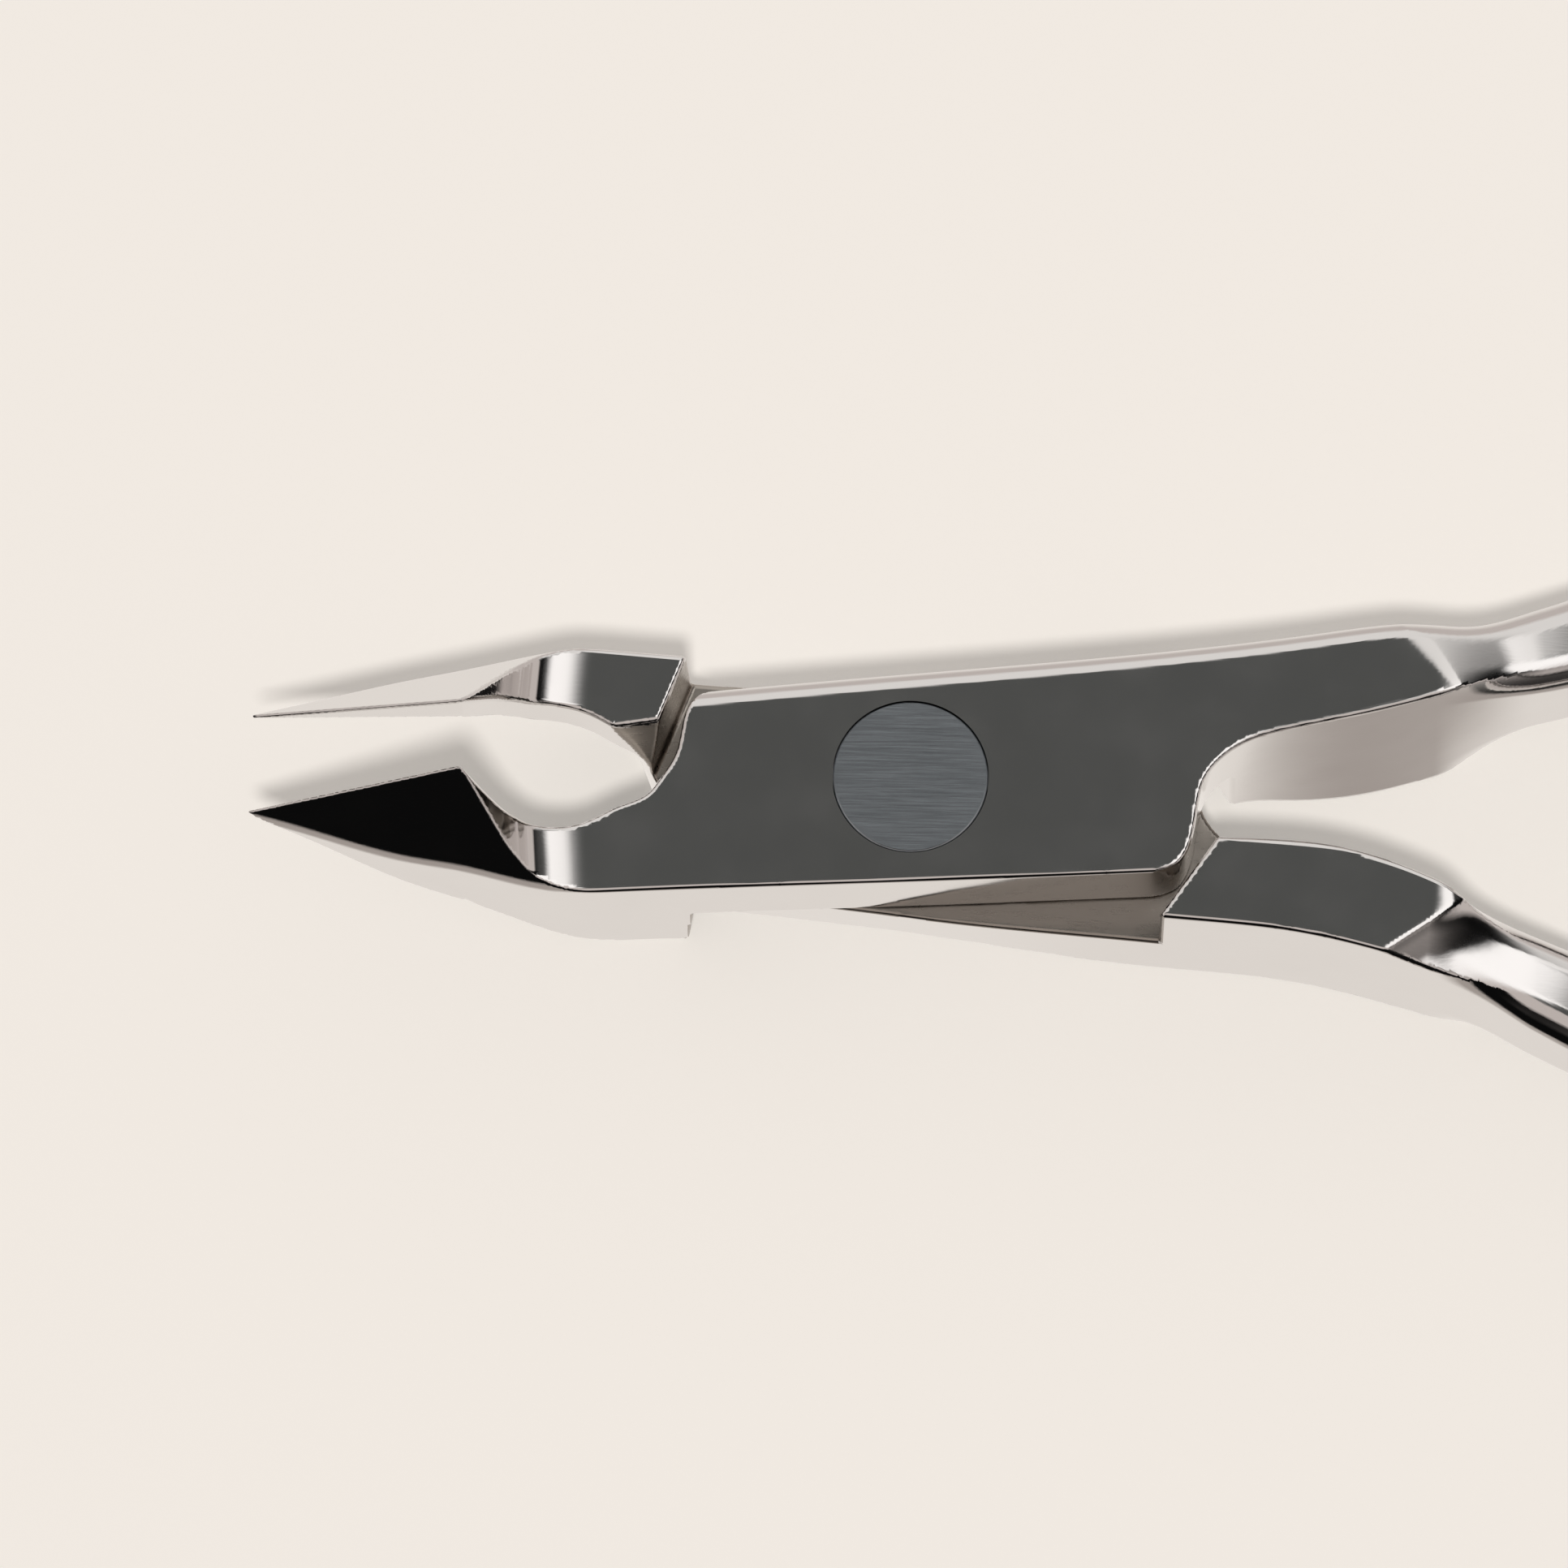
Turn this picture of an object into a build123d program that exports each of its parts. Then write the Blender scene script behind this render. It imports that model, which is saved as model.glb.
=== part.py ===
"""Cuticle nipper: two forged levers crossing in a lap joint, a flush rivet and two leaf springs.

Millimetres.  The tool lies flat: +Z is the rivet axis, -X points to the tips, the back is on Z = 0.
Levers are drawn closed, meeting on Y = 0, and are then turned apart by the rest opening.
"""
import os
from math import cos, radians, sin

from build123d import *

os.makedirs("parts", exist_ok=True)

# joint block
THICK = 5.9
LAP_GAP = 0.03
LAP_A = THICK / 2 + LAP_GAP / 2
LAP_B = THICK / 2 - LAP_GAP / 2
REST_OPEN = 4.1

# jaws
TIP_X = -19.05
HEEL_X = -12.9
HEEL_RISE = 3.9
EDGE_SLOPE = HEEL_RISE / (HEEL_X - TIP_X)
FACET_SLOPE = 1.95
RAMP_X = -9.25
RAMP_RADIUS = 4.5
RAMP_TURN = 27
RIM_DEPTH = 1.8
UNDERCUT = 1 / 3
MOUTH = [(-12.1, 0.5), (-11.2, 0.87), (-10.3, 0.99), (-9.4, 0.87), (-8.6, 0.52), (-7.9, 0.22)]
MOUTH_END_X = -7.4
MOUTH_BACK_X = -6.1
JAW_SIDE = [(TIP_X, 0), (-16.7, 0.93), (-14.5, 1.67), (-13, 2.06), (-11, 2.67), (-9.6, 2.93)]
JAW_BACK = [(-6.35, 0), (-8.9, 0.3), (-11.4, 1.5), (-14.5, 2.9), (-16.8, 4.5), (-19.3, 6.0)]

# rivet
HEAD_RADIUS = 2.22
HEAD_DEPTH = 1.2
SHANK_RADIUS = 1.6
TAIL_RADIUS = 2.05
TAIL_DEPTH = 0.9
RING_GAP = 0.03
TURN_GAP = 0.04

# handle stations, closed: x, y, middle height, width, thickness
GRIP = [
    (36.0, 10.1, 2.8, 3.5, 4.9),
    (50.0, 12.9, 2.85, 4.0, 5.1),
    (65.0, 12.4, 2.85, 4.2, 5.1),
    (79.0, 9.8, 2.8, 4.0, 4.8),
    (89.0, 7.55, 2.75, 3.5, 4.3),
    (92.4, 6.95, 2.75, 2.6, 3.2),
]
HANDLE_A = [
    (15.6, 2.72, 2.85, 2.1, 5.3),
    (19.2, 3.42, 2.72, 2.5, 4.95),
    (26.0, 6.05, 2.75, 2.95, 4.8),
] + GRIP
HANDLE_B = [
    (15.6, 3.0, 2.7, 2.1, 5.0),
    (19.2, 4.2, 2.55, 2.6, 4.6),
    (26.0, 6.75, 2.65, 2.95, 4.6),
] + GRIP
CORNER = 0.34

# plan outlines of the closed lever with the front lap
PLATE_END = [(7.25, -3.16), (7.61, -2.86), (8.05, -1.92), (8.38, -0.61), (8.92, 0.09), (9.88, 0.64)]
FRONT_INNER = PLATE_END + [(11.2, 0.94), (13.5, 1.31), (16.0, 1.84)]
OUTER_A = [(16.0, 3.72), (15.3, 3.82), (14.6, 3.95)]
PLATE_NOSE = [(-5.7, 2.93), (-6.33, 2.29), (-6.62, 1.22), (-7.2, 0.29), (-7.45, 0)]
SHOULDER_A = [(-6.5, -2.96), (-7.5, 0)]
SHOULDER_LEAN = 0.3
STEP = [(7.5, 3.47), (8.92, 0.93)]
NECK_FRONT_A = Plane(origin=(15.3, 2.75, THICK), z_dir=(0.19, 0.15, 0.97))
NECK_BACK_A = Plane(origin=(15.0, 2.6, 0), z_dir=(-0.26, -0.08, 0.96))
TOP_INNER_A = [(8.92, 0.93), (11.2, 0.98), (13.5, 1.33), (16.0, 1.86)]
BACK_INNER_A = [(8.92, 0.93), (11.2, 0.3), (13.5, 0.42), (16.0, 0.98)]

# plan outlines of the closed lever with the back lap
SHOULDER_B = [(-6.73, 2.95), (-7.63, 0)]
OUTER_B = [(16.0, -4.3), (11.5, -3.53), (7.4, -3.46)]
BACK_EDGE_B = [(16.0, -4.3), (11.5, -3.53), (7.4, -3.46), (0.2, -3.08), (-5.7, -2.93)]
TOP_INNER_B = [(8.92, -0.93), (12.2, -0.87), (14.2, -1.25), (16.0, -1.84)]
STEP_B = [(7.44, -3.47), (8.92, -0.93)]
NECK_FRONT_B = Plane(origin=(14.8, -2.9, THICK), z_dir=(0.33, -0.17, 0.93))

# leaf springs
LEAF_Z = 2.85
LEAF_WIDTH = 3.2
LEAF_THICK = 0.7
SEAT_AT = (46.3, 10.6)
SEAT_TURN = 9.5
SEAT_FORWARD = 5.8
SEAT_BACK = 3.8
LEAF_BACK = 3.0
MEET_X = 25.0
LEAF_SWEEP = [(6.2, 0.8), (12, 2.6), (18, 5.4)]
SOCKET_OPEN = (12, 88)
BEAD_RADIUS = 0.9
SOCKET_GAP = 0.06
SOCKET_WALL = 0.6
SCREW_RADIUS = 0.9
SCREW_HEAD_RADIUS = 1.5
SCREW_HEAD_HEIGHT = 0.8
SCREW_DEPTH = 2.2
SCREW_GAP = 0.03
SLOT_WIDTH = 0.45
SLOT_DEPTH = 0.35
SLOT_TURN = 35


def bend_point():
    """Where the hollow ramp of the jaw meets its steep heel."""
    turn = radians(RAMP_TURN)
    return RAMP_X - RAMP_RADIUS * sin(turn), THICK + RAMP_RADIUS * (1 - cos(turn))


def front_height(x):
    """Height of the jaw's front surface: flat, then hollow ramp, then steep heel."""
    bend_x, bend_z = bend_point()
    if x > RAMP_X:
        return THICK
    if x > bend_x:
        return THICK + RAMP_RADIUS - (RAMP_RADIUS**2 - (RAMP_X - x) ** 2) ** 0.5
    return bend_z + (bend_x - x) * (THICK + HEEL_RISE - bend_z) / (bend_x - HEEL_X)


def mouth_section(x, half_width, rim_z):
    """Outline of the gap between the closed jaws at one station, wider towards the back."""
    low = -1.0
    spread = half_width + (rim_z - low) * UNDERCUT
    with BuildSketch(Plane(origin=(x, 0, 0), x_dir=(0, 1, 0), z_dir=(1, 0, 0))) as section:
        with BuildLine():
            Polyline(
                (-half_width, 13), (-half_width, rim_z), (-spread, low),
                (spread, low), (half_width, rim_z), (half_width, 13), close=True,
            )
        make_face()
    return section.sketch


def mouth_cutter(extra):
    """The closed mouth with its undercut, from the tips to the joint."""
    stations = [(TIP_X - 0.6, 0.001, THICK - 0.2), (HEEL_X, 0.001, THICK + HEEL_RISE - RIM_DEPTH)]
    for x, half_width in MOUTH:
        stations.append((x, half_width + extra, front_height(x) - RIM_DEPTH))
    stations.append((MOUTH_END_X, 0.02, THICK - RIM_DEPTH))
    stations.append((MOUTH_BACK_X, 0.01, 0.0))
    with BuildPart() as cutter:
        for near, far in zip(stations, stations[1:]):
            add(loft([mouth_section(*near), mouth_section(*far)], ruled=True))
    return cutter.part


def outline(*edges):
    """A filled face from a closed chain of point lists: two points are a line, more are a curve."""
    with BuildSketch() as face:
        with BuildLine():
            for points in edges:
                if len(points) > 2:
                    Spline(*points)
                else:
                    Line(*points)
        make_face()
    return face.sketch


def front_cutter():
    """Everything above the ramp and the cutting edges."""
    bend_x, bend_z = bend_point()
    with BuildPart() as cutter:
        with BuildSketch(Plane.XZ):
            with BuildLine():
                Line((30, THICK), (RAMP_X, THICK))
                ThreePointArc(
                    (RAMP_X, THICK),
                    (RAMP_X - RAMP_RADIUS * sin(radians(RAMP_TURN / 2)),
                     THICK + RAMP_RADIUS * (1 - cos(radians(RAMP_TURN / 2)))),
                    (bend_x, bend_z),
                )
                Polyline(
                    (bend_x, bend_z), (HEEL_X, THICK + HEEL_RISE), (TIP_X, THICK),
                    (TIP_X - 1, THICK), (TIP_X - 1, 20), (30, 20), (30, THICK),
                )
            make_face()
        extrude(amount=30, both=True)
    return cutter.part


def back_cutter():
    """Everything below the rising back of the jaw."""
    with BuildPart() as cutter:
        with BuildSketch(Plane.XZ):
            with BuildLine():
                Spline(*JAW_BACK)
                Polyline(JAW_BACK[-1], (-21, 6.0), (-21, -2), JAW_BACK[0])
            make_face()
        extrude(amount=30, both=True)
    return cutter.part


def mirrored(points, side):
    """The same plan points on the other side of the bisector when side is -1."""
    return [(x, side * y) for x, y in points]


def handle(stations, side):
    """A handle as one smooth loft through rounded sections square to its middle line."""
    sections = []
    for index, (x, y, z, width, thick) in enumerate(stations):
        before = stations[max(index - 1, 0)]
        after = stations[min(index + 1, len(stations) - 1)]
        run = Vector(after[0] - before[0], side * (after[1] - before[1]), 0).normalized()
        across = Vector(-run.Y, run.X, 0)
        with BuildSketch(Plane(origin=(x, side * y, z), x_dir=across, z_dir=run)) as section:
            RectangleRounded(width, thick, CORNER * width)
        sections.append(section.sketch)
    return loft(sections)


def facet_plane(side):
    """The outer bevel of a jaw, through its cutting edge."""
    return Plane(origin=(TIP_X, 0, THICK), z_dir=(-EDGE_SLOPE, side * FACET_SLOPE, 1))


def seat_plane(side):
    """The spring seat of a closed handle: +X forward along the leaf, +Y towards the other handle."""
    turn = radians(SEAT_TURN)
    forward = Vector(-cos(turn), -side * sin(turn), 0)
    return Plane(origin=(SEAT_AT[0], side * SEAT_AT[1], LEAF_Z), x_dir=forward, z_dir=(0, 0, side))


def seat_cutter(side):
    """The flat filed on a handle for its spring, and the blind hole for the screw."""
    seat = seat_plane(side).location
    with BuildPart() as cutter:
        with Locations(seat * Pos(-SEAT_BACK, 0, 0)):
            Box(SEAT_FORWARD + SEAT_BACK, 2, THICK + 2, align=(Align.MIN, Align.MIN, Align.CENTER))
        with Locations(seat * Rot(90, 0, 0)):
            Cylinder(SCREW_RADIUS, 2 * SCREW_DEPTH)
    return cutter.part


# lever with the front lap: lower jaw, upper handle
with BuildPart() as closed_front_lever:
    jaw = mirrored(JAW_SIDE, -1)
    plate = outline(
        jaw, [jaw[-1], FRONT_INNER[0]], FRONT_INNER, [FRONT_INNER[-1], OUTER_A[0]], OUTER_A,
        [OUTER_A[-1], PLATE_NOSE[0]], PLATE_NOSE, [PLATE_NOSE[-1], jaw[0]],
    )
    add(extrude(Pos(0, 0, LAP_A) * plate, THICK + HEEL_RISE - LAP_A))
    lean = [(x + SHOULDER_LEAN, y) for x, y in SHOULDER_A]
    add(loft([
        outline(jaw, [jaw[-1], SHOULDER_A[0]], SHOULDER_A, [SHOULDER_A[-1], jaw[0]]),
        Pos(0, 0, LAP_A) * outline(jaw, [jaw[-1], lean[0]], lean, [lean[-1], jaw[0]]),
    ], ruled=True))
    add(loft([
        outline(STEP, BACK_INNER_A, [BACK_INNER_A[-1], OUTER_A[0]], OUTER_A, [OUTER_A[-1], STEP[0]]),
        Pos(0, 0, THICK) * outline(
            STEP, TOP_INNER_A, [TOP_INNER_A[-1], OUTER_A[0]], OUTER_A, [OUTER_A[-1], STEP[0]]),
    ], ruled=True))
    add(front_cutter(), mode=Mode.SUBTRACT)
    add(back_cutter(), mode=Mode.SUBTRACT)
    split(bisect_by=facet_plane(-1), keep=Keep.BOTTOM)
    add(mouth_cutter(0), mode=Mode.SUBTRACT)
    split(bisect_by=NECK_FRONT_A, keep=Keep.BOTTOM)
    split(bisect_by=NECK_BACK_A, keep=Keep.TOP)
    add(handle(HANDLE_A, 1))
    add(seat_cutter(1), mode=Mode.SUBTRACT)
    with Locations((0, 0, THICK - HEAD_DEPTH)):
        Cylinder(HEAD_RADIUS + RING_GAP, 2 * HEAD_DEPTH, align=(Align.CENTER, Align.CENTER, Align.MIN),
                 mode=Mode.SUBTRACT)
    Cylinder(SHANK_RADIUS, 3 * THICK, mode=Mode.SUBTRACT)

# lever with the back lap: upper jaw, lower handle
with BuildPart() as closed_back_lever:
    jaw = mirrored(JAW_SIDE, 1)
    nose = mirrored(PLATE_NOSE, -1)
    back_inner = mirrored(FRONT_INNER, -1)
    add(extrude(outline(
        jaw, [jaw[-1], back_inner[0]], back_inner, [back_inner[-1], BACK_EDGE_B[0]], BACK_EDGE_B,
        nose, [nose[-1], jaw[0]],
    ), LAP_B))
    lean = [(x + SHOULDER_LEAN, y) for x, y in SHOULDER_B]
    add(loft([
        Pos(0, 0, LAP_B) * outline(
            jaw, [jaw[-1], lean[0]], lean, [lean[-1], jaw[0]]),
        Pos(0, 0, THICK) * outline(
            jaw, [jaw[-1], SHOULDER_B[0]], SHOULDER_B, [SHOULDER_B[-1], jaw[0]]),
    ], ruled=True))
    add(extrude(Pos(0, 0, THICK) * outline(
        jaw, [jaw[-1], SHOULDER_B[0]], SHOULDER_B, [SHOULDER_B[-1], jaw[0]],
    ), HEEL_RISE))
    add(extrude(outline(
        STEP_B, TOP_INNER_B, [TOP_INNER_B[-1], OUTER_B[0]], OUTER_B, [OUTER_B[-1], STEP_B[0]],
    ), THICK))
    add(front_cutter(), mode=Mode.SUBTRACT)
    add(back_cutter(), mode=Mode.SUBTRACT)
    split(bisect_by=facet_plane(1), keep=Keep.BOTTOM)
    add(mouth_cutter(0.15), mode=Mode.SUBTRACT)
    split(bisect_by=NECK_FRONT_B, keep=Keep.BOTTOM)
    add(handle(HANDLE_B, -1))
    add(seat_cutter(-1), mode=Mode.SUBTRACT)
    Cylinder(SHANK_RADIUS + TURN_GAP, 3 * THICK, mode=Mode.SUBTRACT)
    add(Cone(TAIL_RADIUS + TURN_GAP, SHANK_RADIUS + TURN_GAP, TAIL_DEPTH,
             align=(Align.CENTER, Align.CENTER, Align.MIN)), mode=Mode.SUBTRACT)

# rivet: flush head in front, running shank, countersunk tail flush with the back
with BuildPart() as pivot_rivet:
    Cylinder(SHANK_RADIUS, THICK, align=(Align.CENTER, Align.CENTER, Align.MIN))
    with Locations((0, 0, THICK - HEAD_DEPTH)):
        Cylinder(HEAD_RADIUS, HEAD_DEPTH, align=(Align.CENTER, Align.CENTER, Align.MIN))
    add(Cone(TAIL_RADIUS, SHANK_RADIUS, TAIL_DEPTH, align=(Align.CENTER, Align.CENTER, Align.MIN)))

pivot_rivet.part.label = "pivot_rivet"
export_step(pivot_rivet.part, "parts/pivot_rivet.step")


def leaf(side):
    """A spring leaf from its seat to the meeting point, drawn in the closed frame of its lever."""
    plane = seat_plane(side)
    turn = radians(-side * REST_OPEN)
    tip = plane.to_local_coords(Vector(MEET_X * cos(turn), MEET_X * sin(turn), LEAF_Z))
    mid = LEAF_THICK / 2
    with BuildPart() as body:
        with BuildSketch(plane):
            with BuildLine():
                Line((-LEAF_BACK, mid), (LEAF_BACK, mid))
                Spline((LEAF_BACK, mid), *LEAF_SWEEP, (tip.X, tip.Y), tangents=[(1, 0), (1, 0.8)])
            trace(line_width=LEAF_THICK)
        extrude(amount=LEAF_WIDTH / 2, both=True)
        with Locations(plane.location * Rot(90, 0, 0)):
            Cylinder(SCREW_RADIUS + SCREW_GAP, 4, mode=Mode.SUBTRACT)
    return body.part


# spring leaf of the front lever, ending in a bead
with BuildPart() as closed_bead_leaf:
    add(leaf(1))
    with Locations((MEET_X * cos(radians(REST_OPEN)), -MEET_X * sin(radians(REST_OPEN)), LEAF_Z)):
        Cylinder(BEAD_RADIUS, LEAF_WIDTH)

# spring leaf of the back lever, ending in a socket that clips round the bead
with BuildPart() as closed_socket_leaf:
    add(leaf(-1))
    with Locations((MEET_X * cos(radians(REST_OPEN)), MEET_X * sin(radians(REST_OPEN)), LEAF_Z)):
        Cylinder(BEAD_RADIUS + SOCKET_GAP + SOCKET_WALL, LEAF_WIDTH)
        Cylinder(BEAD_RADIUS + SOCKET_GAP, LEAF_WIDTH, mode=Mode.SUBTRACT)
    with BuildSketch(Plane((MEET_X * cos(radians(REST_OPEN)), MEET_X * sin(radians(REST_OPEN)), LEAF_Z))):
        with BuildLine():
            Polyline(
                (0, 0),
                (4 * cos(radians(SOCKET_OPEN[0])), 4 * sin(radians(SOCKET_OPEN[0]))),
                (4 * cos(radians(SOCKET_OPEN[1])), 4 * sin(radians(SOCKET_OPEN[1]))),
                close=True,
            )
        make_face()
    extrude(amount=LEAF_WIDTH, both=True, mode=Mode.SUBTRACT)


def screw(side):
    """A slotted screw standing square on its spring seat."""
    foot = (Align.CENTER, Align.CENTER, Align.MIN)
    with BuildPart() as body:
        with Locations((0, 0, LEAF_THICK)):
            Cylinder(SCREW_HEAD_RADIUS, SCREW_HEAD_HEIGHT, align=foot)
        chamfer(body.edges().sort_by(Axis.Z)[-1], 0.2)
        with Locations((0, 0, 0.1 - SCREW_DEPTH)):
            Cylinder(SCREW_RADIUS, SCREW_DEPTH + LEAF_THICK, align=foot)
        with Locations((0, 0, LEAF_THICK + SCREW_HEAD_HEIGHT)):
            Box(2.5 * SCREW_HEAD_RADIUS, SLOT_WIDTH, 2 * SLOT_DEPTH, mode=Mode.SUBTRACT)
    return seat_plane(side).location * Rot(-90, 0, 0) * Rot(0, 0, SLOT_TURN) * body.part


# each lever and what it carries, turned to the rest opening
with BuildPart() as front_lever:
    add(closed_front_lever.part.rotate(Axis.Z, REST_OPEN))

front_lever.part.label = "front_lever"
export_step(front_lever.part, "parts/front_lever.step")

with BuildPart() as back_lever:
    add(closed_back_lever.part.rotate(Axis.Z, -REST_OPEN))

back_lever.part.label = "back_lever"
export_step(back_lever.part, "parts/back_lever.step")

with BuildPart() as bead_leaf_spring:
    add(closed_bead_leaf.part.rotate(Axis.Z, REST_OPEN))

bead_leaf_spring.part.label = "bead_leaf_spring"
export_step(bead_leaf_spring.part, "parts/bead_leaf_spring.step")

with BuildPart() as socket_leaf_spring:
    add(closed_socket_leaf.part.rotate(Axis.Z, -REST_OPEN))

socket_leaf_spring.part.label = "socket_leaf_spring"
export_step(socket_leaf_spring.part, "parts/socket_leaf_spring.step")

with BuildPart() as front_spring_screw:
    add(screw(1).rotate(Axis.Z, REST_OPEN))

front_spring_screw.part.label = "front_spring_screw"
export_step(front_spring_screw.part, "parts/front_spring_screw.step")

with BuildPart() as back_spring_screw:
    add(screw(-1).rotate(Axis.Z, -REST_OPEN))

back_spring_screw.part.label = "back_spring_screw"
export_step(back_spring_screw.part, "parts/back_spring_screw.step")
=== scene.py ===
"""Looks for the cuticle nipper: polished levers, ground rivet, spring leaves, floor, light and camera.

Shapes are worked out in millimetres in the frame of the closed tool: +Z is the rivet axis, -X points to
the tips and the jaws meet on Y = 0.  Each one is a signed field, negative inside, turned into a mesh whose
vertices lie on the field's zero.  Each lever is then turned to its rest opening.
"""

import math

import bpy
import numpy as np
from mathutils import Matrix, Vector
from mathutils.geometry import tessellate_polygon


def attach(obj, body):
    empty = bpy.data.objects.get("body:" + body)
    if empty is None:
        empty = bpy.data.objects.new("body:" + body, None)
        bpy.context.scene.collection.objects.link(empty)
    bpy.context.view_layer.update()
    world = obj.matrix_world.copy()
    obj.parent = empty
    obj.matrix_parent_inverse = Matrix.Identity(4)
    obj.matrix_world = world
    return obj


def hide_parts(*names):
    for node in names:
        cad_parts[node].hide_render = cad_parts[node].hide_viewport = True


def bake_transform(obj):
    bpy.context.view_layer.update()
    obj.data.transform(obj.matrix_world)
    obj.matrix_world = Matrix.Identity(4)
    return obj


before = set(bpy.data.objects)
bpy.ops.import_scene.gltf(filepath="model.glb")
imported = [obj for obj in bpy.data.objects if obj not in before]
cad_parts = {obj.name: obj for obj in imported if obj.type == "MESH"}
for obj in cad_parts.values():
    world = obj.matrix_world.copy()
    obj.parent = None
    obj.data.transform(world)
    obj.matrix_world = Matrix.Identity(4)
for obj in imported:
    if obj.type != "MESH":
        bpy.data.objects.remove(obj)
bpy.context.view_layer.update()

MM = 0.001
REST_OPEN = math.radians(4.1)

# joint block
THICK = 5.9
LAP_GAP = 0.03
LAP_A = THICK / 2 + LAP_GAP / 2
LAP_B = THICK / 2 - LAP_GAP / 2
SHOULDER_LEAN = 0.05
BACK_LEAN = 0.31
PLATE_SCOOP = 0.25
CHAMFER_SLOPE = 0.24
CHAMFER_LEAN = 0.35
GROUND_BAND = 0.1

# jaws
TIP_X = -19.05
HEEL_X = -12.9
HEEL_RISE = 3.9
HEEL_BLEND = 0.5
EDGE_SLOPE = HEEL_RISE / (HEEL_X - TIP_X)
FACET_SLOPE = 1.95
RAMP_X = -9.25
RAMP_RADIUS = 4.5
RAMP_TURN = math.radians(27)
RIM_DEPTH = 1.8
TIP_RIM = 0.2
RIM_SLOPE = (HEEL_RISE - RIM_DEPTH + TIP_RIM) / (HEEL_X - TIP_X)
UNDERCUT = 1 / 3
MOUTH_TURN = math.radians(30)
END_TURN = math.radians(45)
MOUTH_PLAY = 0.15
EDGE_GAP = 0.015

# rounding of edges
CRISP = 0.09
EDGE = 0.13
SOFT_EDGE = 0.55
CORNER = 0.34

# rivet
HEAD_RADIUS = 2.22
HEAD_DEPTH = 1.2
SHANK_RADIUS = 1.6
TAIL_RADIUS = 2.05
TAIL_DEPTH = 0.9
RIVET_BREAK = 0.04
RING_GAP = 0.03
TURN_GAP = 0.04

# handles
HANDLE_START = 15.2
HANDLE_BLEND = 3.2
HANDLE_END = 92.4

# springs and screws
LEAF_Z = 2.85
LEAF_WIDTH = 3.2
LEAF_THICK = 0.7
SEAT_AT = (46.3, 10.6)
SEAT_TURN = math.radians(9.5)
SEAT_FORWARD = 5.8
SEAT_BACK = 3.8
LEAF_BACK = 3.0
MEET_X = 25.0
BEAD_RADIUS = 0.9
SOCKET_GAP = 0.1
SOCKET_WALL = 0.56
SOCKET_OPEN = (6, 94)
SCREW_HEAD_RADIUS = 1.5
SCREW_HEAD_HEIGHT = 0.8
SCREW_RADIUS = 0.9
SCREW_DEPTH = 2.2
SCREW_GAP = 0.03
SLOT_WIDTH = 0.45
SLOT_DEPTH = 0.35
SLOT_TURN = math.radians(35)


# ---- curves and rounded combinations -------------------------------------------------------------

def spline(*points):
    """A natural cubic through (x, y) points that goes on straight past both ends."""
    x, y = np.array(points, float).T
    gap = np.diff(x)
    system = np.eye(len(x))
    right = np.zeros(len(x))
    for i in range(1, len(x) - 1):
        system[i, i - 1 : i + 2] = gap[i - 1], 2 * (gap[i - 1] + gap[i]), gap[i]
        right[i] = 6 * ((y[i + 1] - y[i]) / gap[i] - (y[i] - y[i - 1]) / gap[i - 1])
    bend = np.linalg.solve(system, right)

    def at(t):
        held = np.clip(t, x[0], x[-1])
        i = np.clip(np.searchsorted(x, held) - 1, 0, len(x) - 2)
        h = gap[i]
        a = (x[i + 1] - held) / h
        b = (held - x[i]) / h
        value = a * y[i] + b * y[i + 1] + ((a**3 - a) * bend[i] + (b**3 - b) * bend[i + 1]) * h * h / 6
        slope = (y[i + 1] - y[i]) / h + ((1 - 3 * a * a) * bend[i] + (3 * b * b - 1) * bend[i + 1]) * h / 6
        return value + slope * (t - held)

    return at


def over(curve, x, y):
    """Signed distance of (x, y) above the curve y = curve(x)."""
    step = 0.02
    slope = (curve(x + step) - curve(x - step)) / (2 * step)
    return (y - curve(x)) / np.sqrt(1 + slope * slope)


def past(x, y, start, end):
    """Signed distance of (x, y) to the left of the line from start to end."""
    along = np.subtract(end, start) / math.dist(start, end)
    return along[0] * (y - start[1]) - along[1] * (x - start[0])


def both(a, b, radius):
    """Common part of two shapes, its outer edge rounded."""
    inside = np.minimum(np.maximum(a, b), -radius)
    return inside + np.hypot(np.maximum(a + radius, 0), np.maximum(b + radius, 0))


def either(a, b, radius):
    """Two shapes together, with a fillet between them."""
    return -both(-a, -b, radius)


def ease(t):
    """Smooth step from 0 to 1."""
    held = np.clip(t, 0, 1)
    return held * held * (3 - 2 * held)


def turned(x, y, angle):
    """Plan coordinates along and across a direction."""
    c, s = math.cos(angle), math.sin(angle)
    return x * c + y * s, y * c - x * s


def turned_spline(points, angle):
    """A curve through plan points, as height over a turned axis."""
    return spline(*[turned(x, y, angle) for x, y in points])


# ---- plan and side curves of a closed lever whose jaw is on its -Y side ---------------------------

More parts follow.
